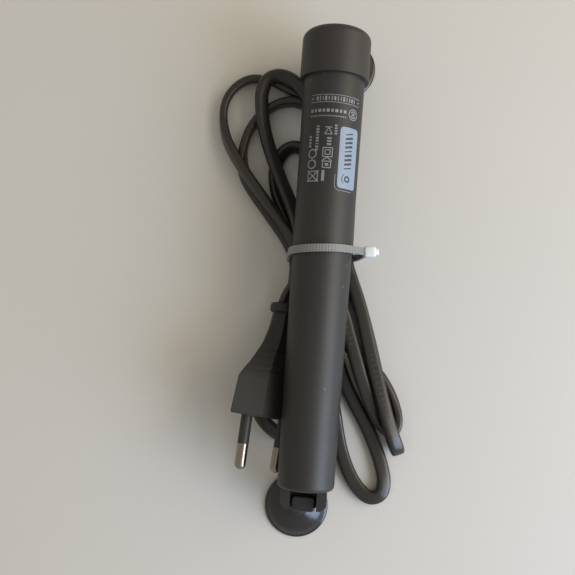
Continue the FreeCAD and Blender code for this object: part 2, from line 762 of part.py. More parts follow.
for name, shape in nodes.items():
    shape.exportStep("parts/" + name + ".step")
    print(name, "solids", len(shape.Solids), "valid", shape.isValid(), round(shape.Volume, 1))
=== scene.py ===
import math

import bmesh
import bpy
from mathutils import Matrix, Vector


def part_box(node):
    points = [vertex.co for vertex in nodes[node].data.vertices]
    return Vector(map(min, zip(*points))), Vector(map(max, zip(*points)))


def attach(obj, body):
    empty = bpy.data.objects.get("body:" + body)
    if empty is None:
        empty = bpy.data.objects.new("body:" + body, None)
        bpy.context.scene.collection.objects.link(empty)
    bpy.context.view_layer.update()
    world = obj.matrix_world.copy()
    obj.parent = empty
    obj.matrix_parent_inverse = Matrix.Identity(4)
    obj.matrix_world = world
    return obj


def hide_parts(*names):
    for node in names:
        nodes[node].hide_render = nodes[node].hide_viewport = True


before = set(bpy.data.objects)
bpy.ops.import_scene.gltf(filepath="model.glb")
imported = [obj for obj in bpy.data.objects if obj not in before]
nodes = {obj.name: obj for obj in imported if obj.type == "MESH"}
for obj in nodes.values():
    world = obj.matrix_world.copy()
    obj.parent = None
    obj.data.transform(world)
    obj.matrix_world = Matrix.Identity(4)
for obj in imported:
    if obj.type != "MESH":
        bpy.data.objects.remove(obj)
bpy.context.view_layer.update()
MM = 0.001
WELD_DISTANCE = 0.00001


def mm(*values):
    return Vector(values) * MM


# ---- the tube's size and place ----------------------------------------------
tube_low, tube_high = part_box("heater_tube")
TUBE_R_TOP = (tube_high[0] - tube_low[0]) / 2
TUBE_R_END = 9.9 * MM
RIM_Y = 71.0 * MM
END_Y = -73.5 * MM
AXIS_Z = 22.0 * MM


def tube_radius(y):
    share = (y - END_Y) / (RIM_Y - END_Y)
    return TUBE_R_END + (TUBE_R_TOP - TUBE_R_END) * share


# ---- shader effects ---------------------------------------------------------
def new_group(name, inputs, outputs):
    """An empty shader node group with its sockets; returns it and its two ends."""
    group = bpy.data.node_groups.new(name, "ShaderNodeTree")
    for label, kind, value in inputs:
        socket = group.interface.new_socket(name=label, in_out="INPUT", socket_type=kind)
        if value is not None:
            socket.default_value = value
    for label, kind in outputs:
        group.interface.new_socket(name=label, in_out="OUTPUT", socket_type=kind)
    return group, group.nodes.new("NodeGroupInput"), group.nodes.new("NodeGroupOutput")


def join(tree, start, end):
    tree.links.new(start, end)


def math_node(tree, operation, first, second=None):
    node = tree.nodes.new("ShaderNodeMath")
    node.operation = operation
    for socket, value in zip(node.inputs, (first, second)):
        if value is None:
            continue
        if isinstance(value, (int, float)):
            socket.default_value = value
        else:
            join(tree, value, socket)
    return node.outputs[0]


def noise(tree, vector, scale, detail, rough=0.5):
    node = tree.nodes.new("ShaderNodeTexNoise")
    join(tree, vector, node.inputs["Vector"])
    if isinstance(scale, (int, float)):
        node.inputs["Scale"].default_value = scale
    else:
        join(tree, scale, node.inputs["Scale"])
    node.inputs["Detail"].default_value = detail
    node.inputs["Roughness"].default_value = rough
    return node.outputs["Fac"]


def spark_grain():
    """Fine spark-eroded skin of a moulding, with a slow change of tone."""
    group, start, end = new_group(
        "spark_grain", [("Vector", "NodeSocketVector", None), ("Grain", "NodeSocketFloat", 2500.0),
                        ("Mottle", "NodeSocketFloat", 60.0)],
        [("Height", "NodeSocketFloat"), ("Tone", "NodeSocketFloat")])
    fine = noise(group, start.outputs["Vector"], start.outputs["Grain"], 2.0)
    slow = noise(group, start.outputs["Vector"], start.outputs["Mottle"], 4.0, 0.6)
    both = math_node(group, "MULTIPLY", math_node(group, "ADD", fine, slow), 0.5)
    join(group, fine, end.inputs["Height"])
    join(group, both, end.inputs["Tone"])
    return group


def handling_specks():
    """Sparse pale specks of dust and small scuffs."""
    group, start, end = new_group(
        "handling_specks", [("Vector", "NodeSocketVector", None),
                            ("Scale", "NodeSocketFloat", 260.0),
                            ("Size", "NodeSocketFloat", 0.12)],
        [("Mask", "NodeSocketFloat")])
    cells = group.nodes.new("ShaderNodeTexVoronoi")
    join(group, start.outputs["Vector"], cells.inputs["Vector"])
    join(group, start.outputs["Scale"], cells.inputs["Scale"])
    dot = math_node(group, "LESS_THAN", cells.outputs["Distance"], start.outputs["Size"])
    patch = noise(group, start.outputs["Vector"], 90.0, 2.0)
    mask = math_node(group, "MULTIPLY", dot, math_node(group, "GREATER_THAN", patch, 0.58))
    join(group, mask, end.inputs["Mask"])
    return group


def drawn_lines():
    """Fine lines along Y, as on drawn wire, strip and turned pins."""
    group, start, end = new_group(
        "drawn_lines", [("Vector", "NodeSocketVector", None),
                        ("Count", "NodeSocketFloat", 1500.0)],
        [("Height", "NodeSocketFloat")])
    mapping = group.nodes.new("ShaderNodeMapping")
    mapping.inputs["Scale"].default_value = (1.0, 0.04, 1.0)
    join(group, start.outputs["Vector"], mapping.inputs["Vector"])
    line = noise(group, mapping.outputs["Vector"], start.outputs["Count"], 3.0)
    join(group, line, end.inputs["Height"])
    return group


def stamped_dashes():
    """Groups of short plain dashes along the top of the lead, on its own UV map."""
    group, start, end = new_group(
        "stamped_dashes", [("UV", "NodeSocketVector", None), ("Pitch", "NodeSocketFloat", 0.0021),
                           ("Repeat", "NodeSocketFloat", 0.064)],
        [("Mask", "NodeSocketFloat")])
    split = group.nodes.new("ShaderNodeSeparateXYZ")
    join(group, start.outputs["UV"], split.inputs[0])
    around, along = split.outputs["X"], split.outputs["Y"]
    off_centre = math_node(group, "ABSOLUTE", math_node(group, "SUBTRACT", around, 0.25))
    band = math_node(group, "LESS_THAN", off_centre, 0.03)
    step = math_node(group, "FRACT", math_node(group, "DIVIDE", along, start.outputs["Pitch"]))
    dash = math_node(group, "LESS_THAN", step, 0.52)
    run = math_node(group, "FRACT", math_node(group, "DIVIDE", along, start.outputs["Repeat"]))
    some = math_node(group, "LESS_THAN", run, 0.3)
    mask = math_node(group, "MULTIPLY", math_node(group, "MULTIPLY", band, dash), some)
    join(group, mask, end.inputs["Mask"])
    return group


SPARK_GRAIN = spark_grain()
SPECKS = handling_specks()
DRAWN = drawn_lines()
DASHES = stamped_dashes()


def placed(tree, group, vector, **values):
    node = tree.nodes.new("ShaderNodeGroup")
    node.node_tree = group
    join(tree, vector, node.inputs[0])
    for label, value in values.items():
        node.inputs[label].default_value = value
    return node


def tone_mix(tree, factor, low, high):
    node = tree.nodes.new("ShaderNodeMix")
    node.data_type = "RGBA"
    join(tree, factor, node.inputs["Factor"])
    for socket, value in ((node.inputs[6], low), (node.inputs[7], high)):
        if isinstance(value, (tuple, list)):
            socket.default_value = (*value, 1.0)
        else:
            join(tree, value, socket)
    return node.outputs[2]


NOISE_LOW, NOISE_HIGH = 0.3, 0.7


def ranged(tree, value, low, high):
    """Spreads the middle of a noise over low to high."""
    node = tree.nodes.new("ShaderNodeMapRange")
    join(tree, value, node.inputs["Value"])
    node.inputs["From Min"].default_value = NOISE_LOW
    node.inputs["From Max"].default_value = NOISE_HIGH
    node.inputs["To Min"].default_value = low
    node.inputs["To Max"].default_value = high
    return node.outputs["Result"]


def bump(tree, height, depth, strength=1.0, below=None):
    node = tree.nodes.new("ShaderNodeBump")
    node.inputs["Distance"].default_value = depth
    node.inputs["Strength"].default_value = strength
    join(tree, height, node.inputs["Height"])
    if below is not None:
        join(tree, below, node.inputs["Normal"])
    return node.outputs["Normal"]


def skin(name, colour, rough, tone=0.12, grain=2500.0, mottle=60.0, depth=0.00002, swing=0.06,
         specks=None, lines=None, **constants):
    """A finish with grain, mottled tone and roughness; constants go on the shader's sockets."""
    material = bpy.data.materials.new(name)
    material.use_nodes = True
    tree = material.node_tree
    shader = tree.nodes["Principled BSDF"]
    place = tree.nodes.new("ShaderNodeTexCoord").outputs["Object"]
    cover = placed(tree, SPARK_GRAIN, place, Grain=grain, Mottle=mottle)
    dark = tuple(c * (1 - tone) for c in colour)
    light = tuple(min(c * (1 + tone), 1.0) for c in colour)
    base = tone_mix(tree, ranged(tree, cover.outputs["Tone"], 0.0, 1.0), dark, light)
    if specks is not None:
        dust = placed(tree, SPECKS, place)
        base = tone_mix(tree, dust.outputs["Mask"], base, specks)
    normal = bump(tree, cover.outputs["Height"], depth)
    if lines is not None:
        drawn = placed(tree, DRAWN, place, Count=lines)
        normal = bump(tree, drawn.outputs["Height"], depth, below=normal)
    join(tree, base, shader.inputs["Base Color"])
    join(tree, ranged(tree, cover.outputs["Tone"], rough - swing, rough + swing),
         shader.inputs["Roughness"])
    join(tree, normal, shader.inputs["Normal"])
    for label, value in constants.items():
        shader.inputs[label.replace("_", " ")].default_value = value
    return material


def lead_skin():
    """Flat PVC lead with plain stamped dashes on its upper face."""
    material = skin("lead_pvc", (0.030, 0.026, 0.0232), 0.30, tone=0.14, grain=1400.0,
                    depth=0.000012, swing=0.05, Specular_IOR_Level=0.5)
    tree = material.node_tree
    shader = tree.nodes["Principled BSDF"]
    chart = tree.nodes.new("ShaderNodeUVMap")
    chart.uv_map = "along_lead"
    marks = placed(tree, DASHES, chart.outputs["UV"])
    under = shader.inputs["Normal"].links[0].from_socket
    join(tree, bump(tree, marks.outputs["Mask"], 0.00005, below=under), shader.inputs["Normal"])
    plain = shader.inputs["Base Color"].links[0].from_socket
    join(tree, tone_mix(tree, marks.outputs["Mask"], plain, (0.045, 0.041, 0.038)),
         shader.inputs["Base Color"])
    return material


def tie_skin():
    """Translucent natural nylon with the strap's fine cross teeth, their grooves painted darker as
    shade.
    """
    material = skin("tie_nylon", (0.30, 0.31, 0.305), 0.40, tone=0.08, grain=1800.0,
                    Subsurface_Weight=0.2, Subsurface_Scale=0.002, Transmission_Weight=0.2)
    tree = material.node_tree
    shader = tree.nodes["Principled BSDF"]
    wave = tree.nodes.new("ShaderNodeTexWave")
    wave.bands_direction = "X"
    wave.inputs["Scale"].default_value = 300.0
    join(tree, tree.nodes["Texture Coordinate"].outputs["Object"], wave.inputs["Vector"])
    under = shader.inputs["Normal"].links[0].from_socket
    join(tree, bump(tree, wave.outputs["Fac"], 0.00012, 0.5, under), shader.inputs["Normal"])
    # Painted shade: the base colour darkens where the teeth's bump is lowest, in the grooves
    # between them.
    plain = shader.inputs["Base Color"].links[0].from_socket
    join(tree, tone_mix(tree, wave.outputs["Fac"], (0.255, 0.262, 0.26), plain),
         shader.inputs["Base Color"])
    return material


FINISH = {
    "tube_plastic": skin("tube_plastic", (0.021, 0.0205, 0.019), 0.50, tone=0.10, grain=3200.0,
                         mottle=45.0, depth=0.000012, specks=(0.075, 0.075, 0.075),
                         Specular_IOR_Level=0.55),
    "cap_plastic": skin("cap_plastic", (0.032, 0.028, 0.0255), 0.50, tone=0.12, grain=2600.0,
                        mottle=80.0, depth=0.00002, Specular_IOR_Level=0.5),
    "cup_rubber": skin("cup_rubber", (0.018, 0.017, 0.018), 0.24, tone=0.2, grain=1200.0,
                       mottle=120.0, depth=0.00001, swing=0.07, Specular_IOR_Level=0.6),
    "gland_rubber": skin("gland_rubber", (0.026, 0.025, 0.024), 0.6, depth=0.00003),
    "lead_pvc": lead_skin(),
    "plug_plastic": skin("plug_plastic", (0.029, 0.028, 0.0255), 0.58, tone=0.10, grain=1500.0,
                         mottle=150.0, depth=0.00004, Specular_IOR_Level=0.45),
    "sleeve_plastic": skin("sleeve_plastic", (0.030, 0.029, 0.027), 0.5, depth=0.00002),
    "nickel_plate": skin("nickel_plate", (0.33, 0.285, 0.235), 0.22, tone=0.06, depth=0.000006,
                         lines=1800.0, Metallic=1.0),
    "tie_nylon": tie_skin(),
    "ratchet_nylon": skin("ratchet_nylon", (0.90, 0.92, 0.93), 0.30, tone=0.04, grain=1800.0,
                          Subsurface_Weight=0.4, Subsurface_Scale=0.003,
                          Transmission_Weight=0.1),
    "print_ink": skin("print_ink", (0.26, 0.27, 0.29), 0.55, tone=0.22, mottle=900.0),
    "label_face": skin("label_face", (0.25, 0.32, 0.41), 0.38, tone=0.05, mottle=200.0,
                       Coat_Weight=0.1),
    "label_ink": skin("label_ink", (0.035, 0.04, 0.06), 0.42, tone=0.1),
    "ceramic": skin("ceramic", (0.80, 0.78, 0.72), 0.65, tone=0.05, depth=0.00004),
    "heating_wire": skin("heating_wire", (0.50, 0.48, 0.45), 0.35, lines=1500.0, Metallic=1.0),
    "silicone": skin("silicone", (0.72, 0.71, 0.68), 0.5, tone=0.05),
    "mica": skin("mica", (0.52, 0.44, 0.33), 0.48, tone=0.18, mottle=300.0),
    "tinned_steel": skin("tinned_steel", (0.66, 0.66, 0.66), 0.32, lines=1500.0, Metallic=1.0),
    "bimetal": skin("bimetal", (0.58, 0.55, 0.50), 0.3, lines=2200.0, Metallic=1.0),
    "contact_silver": skin("contact_silver", (0.82, 0.82, 0.80), 0.2, Metallic=1.0),
    "brass_sheet": skin("brass_sheet", (0.70, 0.55, 0.28), 0.3, lines=1800.0, Metallic=1.0),
    "ferrite": skin("ferrite", (0.07, 0.07, 0.07), 0.6, tone=0.2, depth=0.00005),
    "brown_lead": skin("brown_lead", (0.16, 0.07, 0.03), 0.4, tone=0.08),
    "blue_lead": skin("blue_lead", (0.03, 0.10, 0.32), 0.4, tone=0.08),
}

NODE_FINISH = {
    "heater_tube": "tube_plastic", "head_cap": "cap_plastic", "cable_gland": "gland_rubber",
    "seal_bung": "gland_rubber", "seal_ring": "gland_rubber", "lower_suction_cup": "cup_rubber",
    "upper_suction_cup": "cup_rubber", "ceramic_core": "ceramic",
    "heating_wire": "heating_wire", "core_foot": "silicone", "element_sleeve": "mica",
    "spacer_disc": "silicone", "thermostat_board": "mica", "bimetal_post": "tinned_steel",
    "bimetal_strip": "bimetal", "moving_contact": "contact_silver",
    "fixed_contact": "contact_silver", "contact_bracket": "brass_sheet",
    "snap_magnet": "ferrite", "trim_screw": "tinned_steel", "live_lead": "brown_lead",
    "neutral_lead": "blue_lead", "live_crimp": "tinned_steel", "neutral_crimp": "tinned_steel",
    "thermal_fuse": "tinned_steel", "return_wire": "blue_lead", "preset_label": "label_face",
    "cord_start": "lead_pvc", "cord_hank": "lead_pvc", "cord_end": "lead_pvc",
    "plug_body": "plug_plastic", "plug_pins": "nickel_plate", "pin_sleeves": "sleeve_plastic",
    "tie_strap": "tie_nylon", "tie_head": "tie_nylon",
}
for node_name, finish_name in NODE_FINISH.items():
    node = nodes[node_name]
    if node.data.materials:
        for index in range(len(node.data.materials)):
            node.data.materials[index] = FINISH[finish_name]
    else:
        node.data.materials.append(FINISH[finish_name])


# ---- making pieces ----------------------------------------------------------
def make_piece(name, shape, finish, body=None, smooth=True):
    bmesh.ops.recalc_face_normals(shape, faces=shape.faces)
    mesh = bpy.data.meshes.new(name)
    shape.to_mesh(mesh)
    shape.free()
    if smooth:
        mesh.shade_smooth()
    mesh.materials.append(FINISH[finish])
    piece = bpy.data.objects.new(name, mesh)
    bpy.context.scene.collection.objects.link(piece)
    if body is not None:
        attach(piece, body)
    return piece


def round_edges(piece, width, segments=3, angle=30.0):
    bevel = piece.modifiers.new("rounded", "BEVEL")
    bevel.width = width
    bevel.segments = segments
    bevel.limit_method = "ANGLE"
    bevel.angle_limit = math.radians(angle)
    bevel.harden_normals = True
    return piece


# ---- flat mains lead --------------------------------------------------------
LEAD_WIDTH = 5.2
LEAD_THICK = 3.2
LEAD_SIDES = 24
SAMPLES_PER_POINT = 8
GROOVE_DEPTH, GROOVE_SPREAD = 0.07, 0.6
ROLL_TRUST = 0.35
FLOOR_GAP = 0.05

# Route points in millimetres: x, y, z and how far the flat lead stands on edge.
GLAND_TO_TIE = [
    (-1.0, 56.8, 7.4, 0), (-1.0, 50.0, 7.4, 0), (-1.5, 41.0, 8.2, 0), (-1.0, 29.0, 9.6, 0),
    (-1.0, 20.0, 9.6, 0), (-1.2, 8.4, 9.6, 0)]
LOWER_LOOP_1 = [
    (2.0, 0.5, 9.5, 0), (6.4, -5.5, 9.3, 0), (9.6, -12.5, 8.8, 0), (12.1, -20.0, 8.4, 0),
    (14.7, -27.5, 8.2, 0), (17.5, -35.0, 7.4, 0), (20.6, -42.0, 6.1, 0),
    (23.9, -48.4, 5.0, 0.2), (26.8, -52.2, 4.9, 0.5), (29.3, -54.0, 4.9, 0.9),
    (31.9, -52.8, 4.9, 1), (32.3, -48.6, 4.9, 1), (30.4, -43.2, 4.9, 0.8),
    (27.2, -37.8, 4.9, 0.5), (22.4, -31.8, 4.9, 0.2), (16.6, -27.4, 4.9, 0),
    (10.6, -21.8, 4.9, 0), (7.6, -15.0, 5.6, 0), (5.8, -6.0, 6.1, 0), (4.6, 0.5, 6.2, 0),
    (2.7, 8.4, 6.3, 0)]
UPPER_LOOP_1 = [
    (2.8, 20.0, 6.0, 0), (3.0, 31.0, 5.2, 0), (3.2, 42.0, 3.4, 0), (2.6, 51.0, 1.8, 0),
    (-1.0, 60.0, 1.8, 0.3), (-6.8, 66.4, 2.6, 0.7), (-14.0, 69.6, 2.6, 0.9),
    (-21.2, 68.4, 2.6, 1), (-27.5, 63.8, 2.6, 1), (-31.6, 57.8, 2.6, 1), (-33.4, 51.3, 2.6, 1),
    (-33.8, 45.4, 2.4, 0.7), (-32.2, 38.9, 2.2, 0.5), (-28.8, 33.2, 2.4, 0.7),
    (-24.9, 27.8, 2.6, 0.9), (-20.7, 22.3, 2.6, 1), (-16.6, 17.2, 2.6, 1),
    (-12.9, 12.4, 2.7, 0.8), (-9.8, 7.5, 2.9, 0.2)]
LOWER_LOOP_2 = [
    (-9.6, 0.5, 2.6, 0), (-11.0, -9.0, 1.8, 0), (-14.6, -18.0, 1.6, 0), (-18.8, -27.0, 1.6, 0),
    (-21.8, -36.0, 1.6, 0), (-22.0, -44.5, 1.6, 0), (-19.8, -51.6, 1.6, 0),
    (-14.6, -57.0, 1.6, 0), (-7.5, -59.8, 1.6, 0), (-1.5, -57.4, 1.6, 0), (1.8, -51.0, 1.6, 0),
    (1.5, -41.0, 1.6, 0), (-0.8, -28.0, 1.6, 0), (-4.2, -14.0, 2.6, 0), (-6.8, -3.0, 4.8, 0),
    (-7.7, 5.0, 6.2, 0)]
UPPER_LOOP_2 = [
    (-8.8, 11.0, 6.2, 0.2), (-12.8, 16.7, 6.2, 0.6), (-17.5, 22.2, 6.2, 0.7),
    (-22.9, 28.7, 6.6, 0.7), (-28.2, 35.2, 7.2, 0.7), (-33.2, 41.5, 7.2, 0.7),
    (-37.2, 47.2, 6.0, 0.7), (-40.6, 53.6, 3.8, 0.8), (-42.4, 60.4, 2.7, 0.9),
    (-42.3, 67.5, 2.6, 0.9), (-38.8, 73.8, 2.6, 0.9), (-32.8, 77.6, 2.6, 0.9),
    (-26.0, 77.2, 2.6, 0.8), (-19.5, 75.0, 2.4, 0.6), (-13.5, 72.6, 2.0, 0.3),
    (-8.0, 70.4, 1.7, 0), (-2.5, 66.6, 1.6, 0), (3.5, 60.0, 1.6, 0), (7.4, 50.0, 1.7, 0),
    (8.4, 37.0, 2.8, 0), (8.6, 22.0, 5.0, 0), (8.6, 8.4, 6.3, 0.2)]
LOWER_LOOP_3 = [
    (11.4, 1.0, 7.2, 0), (14.3, -6.0, 7.9, 0), (16.8, -13.5, 8.2, 0),
    (19.3, -22.5, 8.2, 0), (22.0, -31.5, 8.2, 0), (25.0, -40.5, 8.2, 0.1),
    (28.0, -49.5, 8.2, 0.2), (30.6, -55.8, 7.6, 0.2), (32.2, -59.4, 6.2, 0.1),
    (32.8, -61.0, 3.9, 0), (31.6, -58.8, 1.9, 0), (29.0, -51.8, 1.6, 0), (26.4, -43.5, 1.6, 0),
    (23.2, -33.0, 1.6, 0), (19.7, -21.0, 1.6, 0), (15.8, -9.0, 1.8, 0), (11.0, -1.0, 2.4, 0),
    (5.6, 5.0, 2.9, 0)]
UPPER_LOOP_3 = [
    (2.5, 12.0, 2.9, 0), (1.6, 21.0, 2.4, 0), (-0.8, 30.0, 2.0, 0.1), (-3.6, 40.0, 2.2, 0.4),
    (-7.4, 48.2, 2.4, 0.6), (-12.4, 52.0, 2.4, 0.6), (-17.0, 50.6, 2.3, 0.5),
    (-19.9, 46.4, 2.2, 0.4), (-20.8, 41.0, 2.2, 0.4), (-19.9, 35.0, 2.3, 0.5),
    (-18.0, 29.6, 2.4, 0.6), (-15.2, 24.0, 2.5, 0.7), (-11.6, 18.2, 2.6, 0.7),
    (-7.0, 13.2, 2.7, 0.4), (-3.2, 7.5, 2.9, 0)]
LOWER_LOOP_4 = [
    (-0.8, -0.5, 2.9, 0), (2.2, -10.0, 2.8, 0), (5.0, -19.5, 2.6, 0), (7.9, -28.0, 2.4, 0),
    (11.1, -36.5, 2.2, 0), (15.6, -44.4, 1.8, 0), (20.3, -51.6, 1.6, 0), (23.9, -58.6, 1.6, 0),
    (26.7, -65.0, 1.8, 0.1), (28.7, -71.8, 2.0, 0.2), (28.2, -77.2, 2.0, 0.2),
    (23.6, -79.3, 1.8, 0.1), (18.8, -75.6, 1.6, 0), (15.2, -70.2, 1.6, 0), (12.2, -63.4, 1.7, 0),
    (10.2, -56.4, 2.4, 0), (8.2, -47.0, 4.0, 0), (5.0, -35.0, 5.6, 0), (2.2, -21.0, 6.2, 0),
    (-0.8, -6.0, 6.4, 0), (-2.7, 6.0, 6.2, 0)]
UPPER_LOOP_4 = [
    (-4.0, 18.0, 6.2, 0), (-7.0, 29.0, 6.0, 0), (-8.6, 42.0, 5.4, 0), (-8.4, 53.0, 5.2, 0),
    (-8.0, 62.0, 5.4, 0.1), (-9.2, 68.8, 5.8, 0.2), (-12.6, 73.6, 6.6, 0.3),
    (-17.2, 77.0, 7.2, 0.4), (-22.2, 77.8, 7.6, 0.4), (-26.2, 75.4, 7.8, 0.3),
    (-27.6, 70.4, 7.4, 0.3), (-27.2, 65.0, 6.8, 0.3), (-26.2, 59.0, 6.2, 0.3),
    (-24.3, 52.6, 6.2, 0.3), (-21.7, 46.0, 6.4, 0.3), (-18.7, 39.2, 6.6, 0.3),
    (-15.5, 32.7, 7.0, 0.3), (-12.4, 26.6, 8.0, 0.3), (-9.8, 20.4, 9.2, 0.2),
    (-8.2, 14.0, 9.6, 0)]
TIE_TO_PLUG = [
    (-7.7, 4.0, 9.6, 0), (-7.9, 0.6, 9.8, 0.2), (-9.6, -2.8, 9.8, 0.4),
    (-11.9, -6.4, 9.7, 0.5), (-12.8, -9.7, 9.7, 0.5)]
ROUTE = (GLAND_TO_TIE + LOWER_LOOP_1 + UPPER_LOOP_1 + LOWER_LOOP_2 + UPPER_LOOP_2
         + LOWER_LOOP_3 + UPPER_LOOP_3 + LOWER_LOOP_4 + UPPER_LOOP_4 + TIE_TO_PLUG)


def spline_points(route):
    """Points along the smooth line through the route, with each one's roll."""
    curve = bpy.data.curves.new("route", "CURVE")
    curve.dimensions = "3D"
    spline = curve.splines.new("NURBS")
    spline.points.add(len(route) - 1)
    for point, (x, y, z, edge) in zip(spline.points, route):
        point.co = (x * MM, y * MM, z * MM, 1)
    spline.order_u = 3
    spline.use_endpoint_u = True
    spline.resolution_u = SAMPLES_PER_POINT
    holder = bpy.data.objects.new("route", curve)
    line = bpy.data.meshes.new_from_object(holder)
    places = [vertex.co.copy() for vertex in line.vertices]
    rolls = []
    for count in range(len(places)):
        share = count / (len(places) - 1) * (len(route) - 2) + 0.5
        low = min(int(share), len(route) - 2)
        mix = min(max(share - low, 0.0), 1.0)
        rolls.append(route[low][3] * (1 - mix) + route[low + 1][3] * mix)
    bpy.data.objects.remove(holder)
    bpy.data.curves.remove(curve)
    bpy.data.meshes.remove(line)
    return places, rolls


def lead_section():
    """Places round the flat two-core section, with a shallow groove between the cores."""
    points = []
    flat = (LEAD_WIDTH - LEAD_THICK) / 2
    radius = LEAD_THICK / 2
    for count in range(LEAD_SIDES):
        angle = 2 * math.pi * (count + 0.5) / LEAD_SIDES
        run, rise = math.cos(angle), math.sin(angle)
        shift = flat * max(-1.0, min(1.0, 2.6 * run))
        across = shift + radius * math.copysign(abs(run) ** 0.85, run)
        dent = GROOVE_DEPTH * math.exp(-(across / GROOVE_SPREAD) ** 2)
        points.append((across, (radius - dent) * math.copysign(abs(rise) ** 0.8, rise)))
    return points


def section_frames(places, rolls, section):
    """Side and up direction at each place, and the places lifted clear of the floor."""
    side = None
    frames = []
    lifted = []
    for count, place in enumerate(places):
        before = places[max(count - 1, 0)]
        after = places[min(count + 1, len(places) - 1)]
        way = (after - before).normalized()
        level = way.cross(Vector((0, 0, 1)))
        if side is None:
            side = level.normalized()
        carried = (side - way * side.dot(way)).normalized()
        if level.dot(carried) < 0:
            level = -level
        rise = level.cross(way)
        tilt = rolls[count] * math.pi / 2
        wanted = level * math.cos(tilt) + rise * math.sin(tilt)
        trust = min(level.length * 1.5, 1.0) * ROLL_TRUST
        side = (carried * (1 - trust) + wanted.normalized() * trust).normalized()
        side = (side - way * side.dot(way)).normalized()
        up = side.cross(way)
        frames.append((side, up))
        depth = min(side.z * a + up.z * b for a, b in section) * MM
        lifted.append(Vector((place.x, place.y, max(place.z, FLOOR_GAP * MM - depth))))
    return frames, lifted


def sweep_lead(name, places, frames, section):
    shape = bmesh.new()
    chart = shape.loops.layers.uv.new("along_lead")
    rings = []
    runs = [0.0]
    for a, b in zip(places, places[1:]):
        runs.append(runs[-1] + (b - a).length)
    for place, (side, up) in zip(places, frames):
        rings.append([shape.verts.new(place + side * (a * MM) + up * (b * MM))
                      for a, b in section])
    sides = len(section)
    for count in range(len(rings) - 1):
        low, high = rings[count], rings[count + 1]
        for k in range(sides):
            follow = (k + 1) % sides
            face = shape.faces.new((low[k], low[follow], high[follow], high[k]))
            spots = ((k, count), (k + 1, count), (k + 1, count + 1), (k, count + 1))
            for loop, (turn, run) in zip(face.loops, spots):
                loop[chart].uv = ((turn + 0.5) / sides, runs[run])
    shape.faces.new(rings[0][::-1])
    shape.faces.new(rings[-1])
    return make_piece(name, shape, "lead_pvc", "heater")


lead_places, lead_rolls = spline_points(ROUTE)
lead_round = lead_section()
lead_frames, lead_places = section_frames(lead_places, lead_rolls, lead_round)
lead = sweep_lead("mains_lead", lead_places, lead_frames, lead_round)
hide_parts("cord_start", "cord_hank", "cord_end")


# ---- suction cups -----------------------------------------------------------
STEM_ROOT_Z = 5.0
KNOB_SIZE = (8.7, 5.5, 3.2)
KNOB_Z = 13.3


def suction_cup(name, node, body, knob, lean):
    """Domed cup with a rim bead, a leaning stem and a rounded knob."""
    centre = mm(knob[0] + lean[0], knob[1] + lean[1], 0)
    top = mm(knob[0], knob[1], 0)
    profile = [(0.0, 2.9), (4.0, 2.6), (7.4, 1.5), (10.2, 0.15), (10.9, 0.0), (11.5, 0.05),
               (11.8, 0.4), (11.75, 0.85), (11.4, 1.15), (11.0, 1.3), (10.3, 2.15),
               (9.2, 3.15), (7.8, 4.1), (6.2, 4.95), (4.9, 5.6), (4.2, 6.15), (0.0, 6.3)]
    shape = bmesh.new()
    line = [shape.verts.new(mm(r, 0, z)) for r, z in profile]
    edges = [shape.edges.new(pair) for pair in zip(line, line[1:])]
    bmesh.ops.spin(shape, geom=line + edges, cent=(0, 0, 0), axis=(0, 0, 1),
                   angle=2 * math.pi, steps=72, use_merge=True)
    bmesh.ops.remove_doubles(shape, verts=shape.verts, dist=WELD_DISTANCE)
    bmesh.ops.translate(shape, verts=shape.verts, vec=centre)
    stem = bmesh.ops.create_circle(shape, segments=32, radius=4.4 * MM)["verts"]
    bmesh.ops.translate(shape, verts=stem, vec=centre + mm(0, 0, STEM_ROOT_Z))
    hoop = list({edge for vert in stem for edge in vert.link_edges})
    for share, height, radius in ((0.35, 6.6, 3.5), (0.75, 7.9, 2.9), (1.0, 8.9, 2.65),
                                  (1.0, 12.2, 2.65)):
        grown = bmesh.ops.extrude_edge_only(shape, edges=hoop)["geom"]
        verts = [item for item in grown if isinstance(item, bmesh.types.BMVert)]
        hoop = [item for item in grown if isinstance(item, bmesh.types.BMEdge)
                and all(v in verts for v in item.verts)]
        target = centre.lerp(top, share) + mm(0, 0, height)
        now = sum((v.co for v in verts), Vector()) / len(verts)
        size = (verts[0].co - now).length
        for vert in verts:
            vert.co = target + (vert.co - now) * (radius * MM / size)
    knob_verts = bmesh.ops.create_cube(shape, size=1.0)["verts"]
    bmesh.ops.scale(shape, verts=knob_verts, vec=mm(*KNOB_SIZE))
    bmesh.ops.translate(shape, verts=knob_verts, vec=top + mm(0, 0, KNOB_Z))
    posts = list({edge for vert in knob_verts for edge in vert.link_edges
                  if abs(edge.verts[0].co.z - edge.verts[1].co.z) > MM})
    bmesh.ops.bevel(shape, geom=posts, affect="EDGES", offset=1.5 * MM, segments=5,
                    profile=0.5, material=-1)
    lid = [face for face in shape.faces if face.normal.z > 0.9
           and min(v.co.z for v in face.verts) > 14.8 * MM]
    rim = list({edge for face in lid for edge in face.edges})
    bmesh.ops.bevel(shape, geom=rim, affect="EDGES", offset=0.75 * MM, segments=4,
                    profile=0.5, material=-1)
    piece = make_piece(name, shape, "cup_rubber", body)
    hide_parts(node)
    return piece


suction_cup("lower_cup_rubber", "lower_suction_cup", "lower_cup", (-0.6, -80.5), (-2.8, -3.3))
suction_cup("upper_cup_rubber", "upper_suction_cup", "upper_cup", (0.6, 80.5), (2.8, 3.3))

